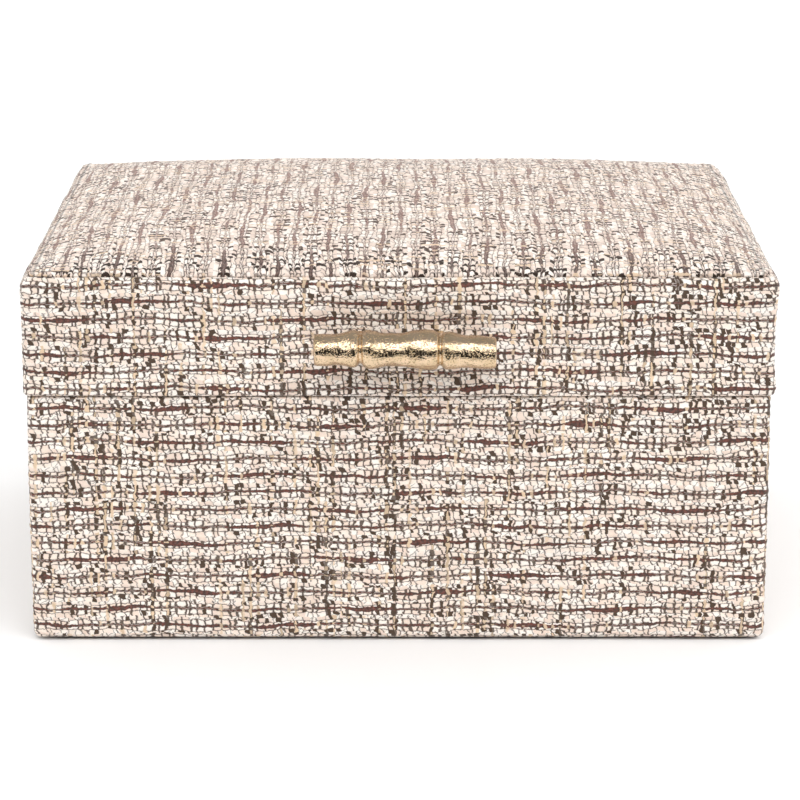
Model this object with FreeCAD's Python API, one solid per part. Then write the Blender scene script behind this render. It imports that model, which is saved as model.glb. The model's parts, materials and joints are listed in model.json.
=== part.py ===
import FreeCAD, Part
import math
import os

# A storage box covered in tweed, with a hinged lid, a padded top and a cast bamboo pull.
# Millimetres. X runs to the right, the front faces -Y, and Z is up from the surface it stands on.

# Outer sizes, over the tweed
lid_width = 254.0
lid_depth = 203.0
lid_height = 40.4  # from the lid's rim to its top edge
base_height = 87.2  # from the table to the base's rim
lid_overhang = 1.0  # how far the lid stands out past the base on each side
seam_gap = 0.4  # between the two rims when the lid is shut
corner_round = 2.8
rim_round = 1.0

# Thicknesses of the boards and sheets
tweed = 1.2
wall_board = 5.0
floor_board = 4.0
top_board = 4.0
lining = 1.5
bottom_cover = 0.8

# Tweed turned in under the floor and over the lid's top, and what covers it
turn_in = 14.0
card_play = 0.2
cover_inset = 4.0
cover_round = 2.0

# Lining panels and the lip that they make above the base's rim
lip_height = 4.0
lip_gap = 0.6
lining_round = 0.6

# Shape of a padded top: how much of its rise it has at its ends, part way up its shoulders
# and half way to the middle, and how far the shoulders bulge
pad_end_share = 0.03
pad_shoulder_share = 0.62
pad_fullness = 0.1
pad_bulge = 0.22
pad_trim = 1.0  # a pad is lofted this much larger and cut to its outline

# Padded floor of the base
floor_pad_edge = 3.0
floor_pad_crown = 2.2
floor_pad_shoulder = 14.0
floor_pad_shoulder_rise = 1.5
pad_play = 0.3

# Padded lining inside the lid's top
lid_pad_edge = 2.0
lid_pad_crown = 1.6
lid_pad_shoulder = 14.0
lid_pad_shoulder_rise = 1.1

# Padded panel on the lid's top: a card, foam and a tweed cover
panel_inset = 2.5
panel_edge = 1.8
panel_crown = 9.0
panel_shoulder = 17.0
panel_shoulder_rise = 5.0
panel_corner_round = 4.0
panel_card = 0.8
card_margin = 1.5

# Bamboo pull, along X on the lid's front
pull_rise = 19.4  # its axis above the lid's rim
pull_reach = 12.5  # its axis in front of the tweed
pull_left = 28.0
pull_right = 32.5
left_node = 12.5
right_node = 13.7
end_radius = 5.5
end_round = 0.5
cane_radius = 5.8
node_radius = 5.6
swell_radius = 6.45
swell_offset = 2.8
post_radius = 3.0

# Machine screws and washers that hold the pull from inside the lid
pull_screw_radius = 1.5
pull_screw_bite = 6.0
pull_screw_play = 0.3
thread_play = 0.05
pull_head_radius = 2.9
pull_head_height = 1.8
head_round = 0.5
washer_radius = 4.5
washer_thickness = 0.6
counterbore_radius = 5.0
counterbore_depth = 3.0
screw_slot_width = 0.8
screw_slot_depth = 0.7

# Stop hinges along the back
hinge_spread = 150.0  # between the middles of the two hinges
hinge_length = 24.0
hinge_standoff = 0.3
knuckle_radius = 2.5
knuckle_gap = 0.2
knuckle_clearance = 0.3
pin_radius = 1.0
pin_play = 0.05
pin_head_radius = 1.5
pin_head_length = 0.6
leaf = 1.2
leaf_margin = 0.8
leaf_screw_spread = 14.0
leaf_screw_radius = 0.9
leaf_screw_length = 9.0
leaf_head_radius = 1.9
leaf_head_height = 0.9
leaf_slot_width = 0.5
leaf_slot_depth = 0.4

# The lid opens until the lug on its hinge knuckle meets the base's leaf
lid_open = 95.0
lug_play = 1.0  # degrees left at the stop
lug_span = 34.0  # degrees
lug_clearance = 0.3

# Sizes that follow from those above
base_width = lid_width - 2 * lid_overhang
base_depth = lid_depth - 2 * lid_overhang
lid_rim = base_height + seam_gap
lid_edge = lid_rim + lid_height
floor_underside = bottom_cover + tweed
floor_top = floor_underside + floor_board
board_rim = base_height - tweed
lid_board_rim = lid_rim + tweed
lid_ceiling = lid_edge - tweed - top_board
lid_lining_foot = base_height + lip_height + lip_gap
shell = tweed + wall_board
pull_y = -lid_depth / 2 - pull_reach
pull_z = lid_rim + pull_rise
pin_y = lid_depth / 2 + hinge_standoff + knuckle_radius
pin_z = base_height + seam_gap / 2
post_places = (-left_node, right_node)
hinge_places = (-hinge_spread / 2, hinge_spread / 2)

same_place = 0.01  # edges nearer than this to a level lie on it

along_x = FreeCAD.Vector(1, 0, 0)
along_y = FreeCAD.Vector(0, 1, 0)
up = FreeCAD.Vector(0, 0, 1)
down = FreeCAD.Vector(0, 0, -1)


def block(x, y, z):
    """A box from the low and high ends along each direction."""
    size = (x[1] - x[0], y[1] - y[0], z[1] - z[0])
    return Part.makeBox(*size, FreeCAD.Vector(x[0], y[0], z[0]))


def centred(width, depth, low, high):
    """A box centred on the origin, seen from above."""
    return block((-width / 2, width / 2), (-depth / 2, depth / 2), (low, high))


def rod(radius, length, start, direction):
    return Part.makeCylinder(radius, length, start, direction)


def rounded(shape, radius, chosen):
    return shape.makeFillet(radius, [e for e in shape.Edges if chosen(e.BoundBox)])


def upright(box):
    return box.XLength < same_place and box.YLength < same_place


def level_at(height):
    return lambda box: max(abs(box.ZMin - height), abs(box.ZMax - height)) < same_place


def save(name, solids):
    shape = solids[0] if len(solids) == 1 else Part.makeCompound(solids)
    shape.exportStep("parts/" + name + ".step")


def four_boards(width, depth, thickness, low, high):
    """Front, back, left and right boards; the side ones stand between the other two."""
    half_w = width / 2
    half_d = depth / 2
    between = (-half_d + thickness, half_d - thickness)
    return {
        "front": block((-half_w, half_w), (-half_d, -half_d + thickness), (low, high)),
        "back": block((-half_w, half_w), (half_d - thickness, half_d), (low, high)),
        "left": block((-half_w, -half_w + thickness), between, (low, high)),
        "right": block((half_w - thickness, half_w), between, (low, high)),
    }


def pad_section(x, depth, foot, edge, shoulder, shoulder_rise, crown, share):
    """The outline of a pad across its depth, where its top has that share of its full rise.

    It is larger than the pad by the trim, which is cut off afterwards.
    """
    side = depth / 2 + pad_trim
    shoulder_place = depth / 2 - shoulder
    halfway = (side + shoulder_place) / 2
    under = foot - pad_trim
    corner = foot + edge
    turn = corner + shoulder_rise * share
    middle = (corner + turn) / 2 + pad_bulge * shoulder_rise * share
    points = [
        FreeCAD.Vector(x, -side, under),
        FreeCAD.Vector(x, -side, corner),
        FreeCAD.Vector(x, -halfway, middle),
        FreeCAD.Vector(x, -shoulder_place, turn),
        FreeCAD.Vector(x, 0, corner + crown * share),
        FreeCAD.Vector(x, shoulder_place, turn),
        FreeCAD.Vector(x, halfway, middle),
        FreeCAD.Vector(x, side, corner),
        FreeCAD.Vector(x, side, under),
    ]
    edges = [
        Part.makeLine(points[0], points[1]),
        Part.Arc(points[1], points[2], points[3]).toShape(),
        Part.Arc(points[3], points[4], points[5]).toShape(),
        Part.Arc(points[5], points[6], points[7]).toShape(),
        Part.makeLine(points[7], points[8]),
        Part.makeLine(points[8], points[0]),
    ]
    return Part.Wire(edges)


def crowned_pad(width, depth, foot, edge, shoulder, shoulder_rise, crown, corner):
    """A pad whose top rises from its edges to a crown, with its upright corners rounded."""
    half = width / 2
    shoulders = shoulder_rise / crown
    quarter = (1 + shoulders) / 2 + pad_fullness
    stations = [
        (-half - pad_trim, pad_end_share),
        (-half + shoulder / 2, pad_shoulder_share * shoulders),
        (-half + shoulder, shoulders),
        (-half / 2, quarter),
        (0, 1),
        (half / 2, quarter),
        (half - shoulder, shoulders),
        (half - shoulder / 2, pad_shoulder_share * shoulders),
        (half + pad_trim, pad_end_share),
    ]
    sections = [
        pad_section(x, depth, foot, edge, shoulder, shoulder_rise, crown, share)
        for x, share in stations
    ]
    pad = Part.makeLoft(sections, True, False)
    outline = centred(width, depth, foot, foot + edge + 2 * crown)
    return pad.common(rounded(outline, corner, upright))


def leaf_pocket(x, depth, low):
    """The room that a hinge leaf takes in the tweed and board of a back wall."""
    inner = depth / 2 - shell + leaf_margin
    return block((x - hinge_length / 2, x + hinge_length / 2), (inner, pin_y), (low, low + leaf))


def leaf_screw(x, depth, height, direction):
    """A countersunk screw whose head lies flush with its leaf, and its slot."""
    start = FreeCAD.Vector(x, depth / 2 - tweed - wall_board / 2, height)
    head = Part.makeCone(leaf_head_radius, leaf_screw_radius, leaf_head_height, start, direction)
    shank = rod(leaf_screw_radius, leaf_screw_length, start, direction)
    slot = block(
        (x - leaf_head_radius, x + leaf_head_radius),
        (start.y - leaf_slot_width / 2, start.y + leaf_slot_width / 2),
        (height - leaf_slot_depth, height + leaf_slot_depth),
    )
    return head.fuse(shank).cut(slot)


def leaf_screw_hole(x, depth, height, direction):
    start = FreeCAD.Vector(x, depth / 2 - tweed - wall_board / 2, height)
    wide = leaf_head_radius + thread_play
    narrow = leaf_screw_radius + thread_play
    sink = Part.makeCone(wide, narrow, leaf_head_height + thread_play, start, direction)
    return sink.fuse(rod(narrow, leaf_screw_length + thread_play, start, direction))


def leaf_screw_places():
    half = leaf_screw_spread / 2
    return [x + side for x in hinge_places for side in (-half, half)]


def hinge_knuckles(x):
    """The three knuckles of a hinge, as spans along X: base, lid, base."""
    length = (hinge_length - 2 * knuckle_gap) / 3
    starts = [x - hinge_length / 2 + i * (length + knuckle_gap) for i in range(3)]
    return [(start, length) for start in starts]


def around_pin(radius, span, grow=0.0):
    start = FreeCAD.Vector(span[0] - grow, pin_y, pin_z)
    return rod(radius, span[1] + 2 * grow, start, along_x)


def hinge_leaf(x, plate, own, other):
    """A leaf with its own knuckles, cut clear of the other leaf's."""
    shape = plate
    for span in other:
        shape = shape.cut(around_pin(knuckle_radius + knuckle_clearance, span, knuckle_gap))
    for span in own:
        shape = shape.fuse(around_pin(knuckle_radius, span))
    bore = around_pin(pin_radius + pin_play, (x - hinge_length / 2, hinge_length), knuckle_gap)
    return shape.cut(bore).removeSplitter()


def stop_lug(span):
    """A lug on the lid's knuckle that comes up under the base's leaf when the lid is open."""
    inner = knuckle_radius + knuckle_clearance
    below = math.degrees(math.asin((leaf + seam_gap / 2) / inner))
    lead = below + lid_open + lug_play
    outer = pin_y - base_depth / 2 - lug_clearance
    root = knuckle_radius / 2
    corners = []
    for radius, angle in ((root, lead), (outer, lead), (outer, lead + lug_span), (root, lead + lug_span)):
        turn = math.radians(angle)
        y = pin_y - radius * math.cos(turn)
        z = pin_z - radius * math.sin(turn)
        corners.append(FreeCAD.Vector(span[0], y, z))
    face = Part.Face(Part.makePolygon(corners + corners[:1]))
    return face.extrude(FreeCAD.Vector(span[1], 0, 0))


def base_leaf(x):
    knuckles = hinge_knuckles(x)
    plate = leaf_pocket(x, base_depth, base_height - leaf)
    shape = hinge_leaf(x, plate, [knuckles[0], knuckles[2]], [knuckles[1]])
    for place in (x - leaf_screw_spread / 2, x + leaf_screw_spread / 2):
        shape = shape.cut(leaf_screw_hole(place, base_depth, base_height, down))
    return shape


def lid_leaf(x):
    knuckles = hinge_knuckles(x)
    plate = leaf_pocket(x, lid_depth, lid_rim).fuse(stop_lug(knuckles[1]))
    shape = hinge_leaf(x, plate, [knuckles[1]], [knuckles[0], knuckles[2]])
    for place in (x - leaf_screw_spread / 2, x + leaf_screw_spread / 2):
        shape = shape.cut(leaf_screw_hole(place, lid_depth, lid_rim, up))
    return shape


def hinge_pin(x):
    """A pin with a small head at each end, outside the knuckles."""
    span = (x - hinge_length / 2 - knuckle_gap, hinge_length + 2 * knuckle_gap)
    shape = around_pin(pin_radius, span)
    for start in (span[0] - pin_head_length, span[0] + span[1]):
        shape = shape.fuse(around_pin(pin_head_radius, (start, pin_head_length)))
    return shape


def base_boards():
    boards = four_boards(
        base_width - 2 * tweed, base_depth - 2 * tweed, wall_board, floor_top, board_rim
    )
    for x in hinge_places:
        boards["back"] = boards["back"].cut(leaf_pocket(x, base_depth, base_height - leaf))
    for x in leaf_screw_places():
        boards["back"] = boards["back"].cut(leaf_screw_hole(x, base_depth, base_height, down))
    for side, board in boards.items():
        save("base_" + side + "_board", [board])
    floor = centred(base_width - 2 * tweed, base_depth - 2 * tweed, floor_underside, floor_top)
    save("base_floor_board", [floor])


def base_wrap():
    """Tweed round the base, turned over the rim and in under the floor."""
    wrap = centred(base_width, base_depth, bottom_cover, base_height)
    foot = level_at(bottom_cover)
    wrap = rounded(wrap, corner_round, lambda box: upright(box) or foot(box))
    wrap = rounded(wrap, rim_round, level_at(base_height))
    inside = centred(base_width - 2 * tweed, base_depth - 2 * tweed, floor_underside, board_rim)
    mouth = centred(base_width - 2 * shell, base_depth - 2 * shell, board_rim, base_height)
    under = centred(
        base_width - 2 * turn_in, base_depth - 2 * turn_in, bottom_cover, floor_underside
    )
    wrap = wrap.cut(inside).cut(mouth).cut(under)
    for x in hinge_places:
        wrap = wrap.cut(leaf_pocket(x, base_depth, base_height - leaf))
    save("base_tweed_wrap", [wrap])
    hole = 2 * (turn_in + card_play)
    filler = centred(base_width - hole, base_depth - hole, bottom_cover, floor_underside)
    save("base_filler_card", [filler])
    cover = centred(base_width - 2 * cover_inset, base_depth - 2 * cover_inset, 0, bottom_cover)
    save("base_bottom_cover", [rounded(cover, cover_round, upright)])


def base_linings():
    top = base_height + lip_height
    inside_w = base_width - 2 * shell
    inside_d = base_depth - 2 * shell
    panels = four_boards(inside_w, inside_d, lining, floor_top, top)
    for side, panel in panels.items():
        save("base_lining_" + side, [rounded(panel, lining_round, level_at(top))])
    pad = crowned_pad(
        inside_w - 2 * (lining + pad_play),
        inside_d - 2 * (lining + pad_play),
        floor_top,
        floor_pad_edge,
        floor_pad_shoulder,
        floor_pad_shoulder_rise,
        floor_pad_crown,
        cover_round,
    )
    save("base_floor_pad", [pad])


def pull_hole(x, radius):
    """A hole through the lid's front for one of the pull's screws."""
    start = FreeCAD.Vector(x, -lid_depth / 2, pull_z)
    return rod(radius, shell, start, along_y)


def lid_boards():
    boards = four_boards(
        lid_width - 2 * tweed, lid_depth - 2 * tweed, wall_board, lid_board_rim, lid_ceiling
    )
    for x in post_places:
        inner = FreeCAD.Vector(x, -lid_depth / 2 + shell - counterbore_depth, pull_z)
        counterbore = rod(counterbore_radius, counterbore_depth, inner, along_y)
        hole = pull_hole(x, pull_screw_radius + pull_screw_play)
        boards["front"] = boards["front"].cut(counterbore).cut(hole)
    for x in hinge_places:
        boards["back"] = boards["back"].cut(leaf_pocket(x, lid_depth, lid_rim))
    for x in leaf_screw_places():
        boards["back"] = boards["back"].cut(leaf_screw_hole(x, lid_depth, lid_rim, up))
    for side, board in boards.items():
        save("lid_" + side + "_board", [board])
    top = centred(lid_width - 2 * tweed, lid_depth - 2 * tweed, lid_ceiling, lid_edge - tweed)
    save("lid_top_board", [top])


def lid_band():
    """Tweed round the lid, turned under the rim and in over the top board."""
    band = centred(lid_width, lid_depth, lid_rim, lid_edge)
    edge = level_at(lid_edge)
    band = rounded(band, corner_round, lambda box: upright(box) or edge(box))
    band = rounded(band, rim_round, level_at(lid_rim))
    inside = centred(
        lid_width - 2 * tweed, lid_depth - 2 * tweed, lid_board_rim, lid_edge - tweed
    )
    mouth = centred(lid_width - 2 * shell, lid_depth - 2 * shell, lid_rim, lid_board_rim)
    over = centred(
        lid_width - 2 * turn_in, lid_depth - 2 * turn_in, lid_edge - tweed, lid_edge
    )
    band = band.cut(inside).cut(mouth).cut(over)
    for x in post_places:
        band = band.cut(pull_hole(x, pull_screw_radius + pull_screw_play))
    for x in hinge_places:
        band = band.cut(leaf_pocket(x, lid_depth, lid_rim))
    save("lid_tweed_band", [band])
    hole = 2 * (turn_in + card_play)
    filler = centred(lid_width - hole, lid_depth - hole, lid_edge - tweed, lid_edge)
    save("lid_filler_card", [filler])


def lid_panel():
    """The padded panel on top: its card, the foam on it and the tweed over both."""
    outer_w = lid_width - 2 * panel_inset
    outer_d = lid_depth - 2 * panel_inset
    cover = crowned_pad(
        outer_w,
        outer_d,
        lid_edge,
        panel_edge,
        panel_shoulder,
        panel_shoulder_rise,
        panel_crown,
        panel_corner_round,
    )
    core = crowned_pad(
        outer_w - 2 * tweed,
        outer_d - 2 * tweed,
        lid_edge,
        panel_edge - tweed,
        panel_shoulder,
        panel_shoulder_rise,
        panel_crown,
        panel_corner_round - tweed,
    )
    margin = 2 * (tweed + card_margin)
    card = centred(outer_w - margin, outer_d - margin, lid_edge, lid_edge + panel_card)
    card = rounded(card, panel_corner_round - tweed, upright)
    save("lid_top_tweed", [cover.cut(core)])
    save("lid_foam_pad", [core.cut(card)])
    save("lid_panel_card", [card])


def lid_linings():
    inside_w = lid_width - 2 * shell
    inside_d = lid_depth - 2 * shell
    panels = four_boards(inside_w, inside_d, lining, lid_lining_foot, lid_ceiling)
    for side, panel in panels.items():
        save("lid_lining_" + side, [rounded(panel, lining_round, level_at(lid_lining_foot))])
    pad = crowned_pad(
        inside_w - 2 * (lining + pad_play),
        inside_d - 2 * (lining + pad_play),
        0,
        lid_pad_edge,
        lid_pad_shoulder,
        lid_pad_shoulder_rise,
        lid_pad_crown,
        cover_round,
    )
    pad.rotate(FreeCAD.Vector(0, 0, 0), along_x, 180)
    pad.translate(FreeCAD.Vector(0, 0, lid_ceiling))
    save("lid_lining_top", [pad])


def cane_curve(points):
    """A smooth outline through points given as distance along the pull and radius."""
    curve = Part.BSplineCurve()
    curve.interpolate([FreeCAD.Vector(x, 0, radius) for x, radius in points])
    return curve.toShape()


def pull_bar():
    """A cast length of bamboo: it swells beside each of its two nodes."""
    left = -pull_left
    right = pull_right
    first = -left_node
    second = right_node
    start = FreeCAD.Vector(left, 0, 0)
    left_rim = FreeCAD.Vector(left, 0, end_radius - end_round)
    right_rim = FreeCAD.Vector(right, 0, end_radius - end_round)
    finish = FreeCAD.Vector(right, 0, 0)
    left_top = (left + end_round, end_radius)
    right_top = (right - end_round, end_radius)
    outline = [
        Part.makeLine(start, left_rim),
        Part.makeLine(left_rim, FreeCAD.Vector(left_top[0], 0, left_top[1])),
        cane_curve(
            [
                left_top,
                ((left + first) / 2, cane_radius),
                (first - swell_offset, swell_radius),
                (first, node_radius),
            ]
        ),
        cane_curve(
            [
                (first, node_radius),
                (first + swell_offset, swell_radius),
                ((first + second) / 2, cane_radius),
                (second - swell_offset, swell_radius),
                (second, node_radius),
            ]
        ),
        cane_curve(
            [
                (second, node_radius),
                (second + swell_offset, swell_radius),
                ((second + right) / 2, cane_radius),
                right_top,
            ]
        ),
        Part.makeLine(FreeCAD.Vector(right_top[0], 0, right_top[1]), right_rim),
        Part.makeLine(right_rim, finish),
        Part.makeLine(finish, start),
    ]
    face = Part.Face(Part.Wire(outline))
    bar = face.revolve(FreeCAD.Vector(0, 0, 0), along_x, 360)
    bar.translate(FreeCAD.Vector(0, pull_y, pull_z))
    for x in post_places:
        face_point = FreeCAD.Vector(x, -lid_depth / 2, pull_z)
        bar = bar.fuse(rod(post_radius, pull_reach, face_point, -along_y))
    for x in post_places:
        face_point = FreeCAD.Vector(x, -lid_depth / 2, pull_z)
        thread = rod(pull_screw_radius + thread_play, pull_screw_bite, face_point, -along_y)
        bar = bar.cut(thread)
    save("pull_bar", [bar])


def pull_screws():
    """The two machine screws and their washers, set in the lid's front board."""
    screws = []
    washers = []
    seat = -lid_depth / 2 + shell - counterbore_depth
    under_head = seat + washer_thickness
    reach = under_head + lid_depth / 2 + pull_screw_bite - thread_play
    for x in post_places:
        washer = rod(washer_radius, washer_thickness, FreeCAD.Vector(x, seat, pull_z), along_y)
        washers.append(washer.cut(pull_hole(x, pull_screw_radius + pull_screw_play)))
        start = FreeCAD.Vector(x, under_head, pull_z)
        head = rod(pull_head_radius, pull_head_height, start, along_y)
        top = under_head + pull_head_height
        head = rounded(head, head_round, lambda box: abs(box.YMin - top) < same_place)
        slot = block(
            (x - pull_head_radius, x + pull_head_radius),
            (top - screw_slot_depth, top),
            (pull_z - screw_slot_width / 2, pull_z + screw_slot_width / 2),
        )
        screws.append(head.fuse(rod(pull_screw_radius, reach, start, -along_y)).cut(slot))
    save("pull_screws", screws)
    save("pull_washers", washers)


def hinges():
    save("hinge_base_leaves", [base_leaf(x) for x in hinge_places])
    save("hinge_lid_leaves", [lid_leaf(x) for x in hinge_places])
    save("hinge_pins", [hinge_pin(x) for x in hinge_places])
    places = leaf_screw_places()
    save("hinge_base_screws", [leaf_screw(x, base_depth, base_height, down) for x in places])
    save("hinge_lid_screws", [leaf_screw(x, lid_depth, lid_rim, up) for x in places])


os.makedirs("parts", exist_ok=True)
base_boards()
base_wrap()
base_linings()
lid_boards()
lid_band()
lid_panel()
lid_linings()
pull_bar()
pull_screws()
hinges()
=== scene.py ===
import bpy
import json
import math
import numpy as np
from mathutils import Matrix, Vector


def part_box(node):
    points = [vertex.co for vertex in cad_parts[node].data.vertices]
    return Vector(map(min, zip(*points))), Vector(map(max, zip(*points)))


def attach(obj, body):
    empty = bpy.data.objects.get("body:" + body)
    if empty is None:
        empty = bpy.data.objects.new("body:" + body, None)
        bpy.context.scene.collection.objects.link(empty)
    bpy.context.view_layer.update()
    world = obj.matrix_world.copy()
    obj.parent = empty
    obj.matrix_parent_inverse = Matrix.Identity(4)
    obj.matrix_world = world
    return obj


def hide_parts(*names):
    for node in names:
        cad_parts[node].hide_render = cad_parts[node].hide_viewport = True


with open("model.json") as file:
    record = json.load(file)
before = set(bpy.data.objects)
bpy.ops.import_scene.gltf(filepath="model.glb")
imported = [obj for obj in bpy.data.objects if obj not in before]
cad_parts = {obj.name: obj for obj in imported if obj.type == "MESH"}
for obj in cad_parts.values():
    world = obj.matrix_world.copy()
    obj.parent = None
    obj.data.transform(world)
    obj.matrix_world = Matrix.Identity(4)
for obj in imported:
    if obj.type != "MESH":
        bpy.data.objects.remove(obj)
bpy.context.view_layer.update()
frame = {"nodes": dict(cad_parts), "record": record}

mm = 0.001


class Flow:
    # A socket in a material's node tree. Sums written on it add Math nodes.
    def __init__(self, tree, socket=None):
        self.tree = tree
        self.socket = socket

    def node(self, kind, settings=None, inputs=None, out=0):
        made = self.tree.nodes.new("ShaderNode" + kind)
        for name, value in (settings or {}).items():
            if name == "stops":
                setStops(made.color_ramp, value)
            elif name == "interpolation":
                made.color_ramp.interpolation = value
            else:
                setattr(made, name, value)
        for name, value in (inputs or {}).items():
            if isinstance(value, Flow):
                self.tree.links.new(value.socket, made.inputs[name])
            else:
                made.inputs[name].default_value = value
        return Flow(self.tree, made.outputs[out])

    def pick(self, name):  # another output of the same node
        return Flow(self.tree, self.socket.node.outputs[name])

    def math(self, operation, *terms):
        return self.node("Math", {"operation": operation}, dict(enumerate(terms)))

    def __add__(self, other):
        return self.math("ADD", self, other)

    def __sub__(self, other):
        return self.math("SUBTRACT", self, other)

    def __rsub__(self, other):
        return self.math("SUBTRACT", other, self)

    def __mul__(self, other):
        return self.math("MULTIPLY", self, other)

    def __truediv__(self, other):
        return self.math("DIVIDE", self, other)

    def __pow__(self, other):
        return self.math("POWER", self, other)

    def __abs__(self):
        return self.math("ABSOLUTE", self)

    def __gt__(self, other):
        return self.math("GREATER_THAN", self, other)

    def __lt__(self, other):
        return self.math("LESS_THAN", self, other)

    __radd__ = __add__
    __rmul__ = __mul__


def setStops(ramp, stops):
    while len(ramp.elements) < len(stops):
        ramp.elements.new(0.5)
    for element, (place, colour) in zip(ramp.elements, stops):
        element.position = place
        element.color = colour


def sine(x):
    return x.math("SINE", x) if isinstance(x, Flow) else np.sin(x)


def whole(x):
    return x.math("FLOOR", x) if isinstance(x, Flow) else np.floor(x)


def atLeast(x, least):
    return x.math("MAXIMUM", x, least)


def atMost(x, most):
    return x.math("MINIMUM", x, most)


def step(x, low, high):  # 0 below low, 1 above high, smooth between them
    return x.node(
        "MapRange",
        {"interpolation_type": "SMOOTHSTEP"},
        {"Value": x, "From Min": low, "From Max": high},
    )


def blendColour(amount, first, second, kind="MIX"):
    flow = amount if isinstance(amount, Flow) else first
    settings = {"data_type": "RGBA", "blend_type": kind, "clamp_factor": True}
    return flow.node("Mix", settings, {0: amount, 6: first, 7: second}, out=2)


def grey(value):
    return (value, value, value, 1)


def rgb(*screen):  # a colour as it looks on screen, made linear
    shares = [value / 255 for value in screen]
    return (*[s / 12.92 if s < 0.04 else ((s + 0.055) / 1.055) ** 2.4 for s in shares], 1)


def newMaterial(name, constants):
    material = bpy.data.materials.new(name)
    material.use_nodes = True
    shader = material.node_tree.nodes["Principled BSDF"]
    for socket, value in constants.items():
        shader.inputs[socket].default_value = value
    return material, Flow(material.node_tree), shader


def feed(shader, **sockets):
    for name, value in sockets.items():
        value.tree.links.new(value.socket, shader.inputs[name.replace("_", " ")])


def objectPlace(flow):
    return flow.node("TexCoord", {}, {}, out=3)


def stretched(flow, place, scale):
    return flow.node("Mapping", {}, {0: place, "Scale": scale})


def noise(flow, place, scale, detail, **others):
    return flow.node("TexNoise", {}, {"Vector": place, "Scale": scale, "Detail": detail, **others})


def bumpFrom(flow, height, strength, distance):
    return flow.node("Bump", {}, {"Height": height, "Strength": strength, "Distance": distance})


def deselectAll():
    if bpy.context.object and bpy.context.object.mode != "OBJECT":
        bpy.ops.object.mode_set(mode="OBJECT")
    bpy.ops.object.select_all(action="DESELECT")


photoCamera = {
    "place": (0.00046, -1.1314, 0.3600),
    "down": 14.88,  # degrees below the horizon
    "lens": 142.0,
    "sensor": 36.0,
    "nearest": 0.05,
}


def makeCamera():
    tilt = math.radians(90 - photoCamera["down"])
    bpy.ops.object.camera_add(location=photoCamera["place"], rotation=(tilt, 0, 0))
    camera = bpy.context.object
    camera.data.lens = photoCamera["lens"]
    camera.data.sensor_width = photoCamera["sensor"]
    camera.data.clip_start = photoCamera["nearest"]
    bpy.context.scene.camera = camera


studio = {
    "floor": 11.0,  # m across
    "floorSides": 96,
    "floorColour": 0.95,
    "surround": 1.08,
    "front": (0.5, 0.66),  # where the camera's side begins, as a share of straight ahead
    "boxLight": 3.85,  # the soft box above the camera
    "boxLow": (0.50, 0.53),  # sines of the heights between which it begins and ends
    "boxHigh": (0.79, 0.83),
    "ceiling": 0.95,
    "rightward": 0.2,  # how much more light comes from the right
    "room": 0.06,  # the dark room behind the camera
    "roomLow": (-0.3, -0.2),
    # near y, far y, height and grey of cloths that only show as reflections in the pull
    "cloths": [(-0.285, -5.6, 0.002, 0.02), (1.6, -0.88, 1.2, 0.3)],
    "clothWidth": 3.2,
    # left, right, low and high edge of white cards beside the camera, which only show there too
    "cards": [(-1.3, -0.33, 0.42, 1.2), (0.17, 1.3, 0.28, 1.2)],
    "cardsAt": -1.0,
    "cardLight": 2.2,
}


def makeStudio():
    bpy.context.scene.view_settings.view_transform = "Standard"
    world = bpy.data.worlds.new("studio")
    bpy.context.scene.world = world
    world.use_nodes = True
    flow = Flow(world.node_tree)
    direction = flow.node("SeparateXYZ", {}, {0: flow.node("TexCoord")})
    x, y, z = direction, direction.pick("Y"), direction.pick("Z")
    flat = (x * x + y * y) ** 0.5
    ahead = (0 - y) / (flat + 0.001)  # 1 towards the camera's side
    inFront = step(ahead, *studio["front"])
    aboveRoom = step(z, *studio["boxLow"])
    aboveBox = step(z, *studio["boxHigh"])
    room = inFront * step(z, *studio["roomLow"]) * (1 - aboveRoom)
    box = inFront * aboveRoom * (1 - aboveBox)
    light = studio["surround"] + (studio["ceiling"] - studio["surround"]) * aboveBox
    light = light + (studio["room"] - studio["surround"]) * room
    light = light + (studio["boxLight"] - studio["surround"]) * box
    light = light * (1 + studio["rightward"] * x)
    background = world.node_tree.nodes["Background"]
    world.node_tree.links.new(light.socket, background.inputs["Strength"])
    background.inputs["Color"].default_value = (1, 1, 1, 1)
    bpy.ops.mesh.primitive_circle_add(
        vertices=studio["floorSides"], radius=studio["floor"] / 2, fill_type="NGON"
    )
    floor = bpy.context.object
    floor.name = "studioFloor"
    look = {"Base Color": grey(studio["floorColour"]), "Roughness": 0.8}
    floor.data.materials.append(newMaterial("paleFloor", look)[0])
    for near, far, high, tone in studio["cloths"]:
        look = {"Base Color": grey(tone), "Roughness": 1.0, "Specular IOR Level": 0.0}
        size = (studio["clothWidth"], near - far)
        reflectedPlane("studioCloth", (0, (near + far) / 2, high), 0, size, look)
    for left, right, low, high in studio["cards"]:
        look = {
            "Base Color": grey(0),
            "Specular IOR Level": 0.0,
            "Emission Color": grey(1),
            "Emission Strength": studio["cardLight"],
        }
        place = ((left + right) / 2, studio["cardsAt"], (low + high) / 2)
        reflectedPlane("studioCard", place, math.pi / 2, (right - left, high - low), look)


def reflectedPlane(name, place, turn, size, look):
    bpy.ops.mesh.primitive_plane_add(size=1, location=place, rotation=(turn, 0, 0))
    plane = bpy.context.object
    plane.name = name
    plane.scale = (*size, 1)
    plane.data.materials.append(newMaterial(name, look)[0])
    plane.visible_camera = plane.visible_diffuse = False
    plane.visible_shadow = plane.visible_transmission = False


deselectAll()
makeCamera()
makeStudio()
print("camera and studio ready")


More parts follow.
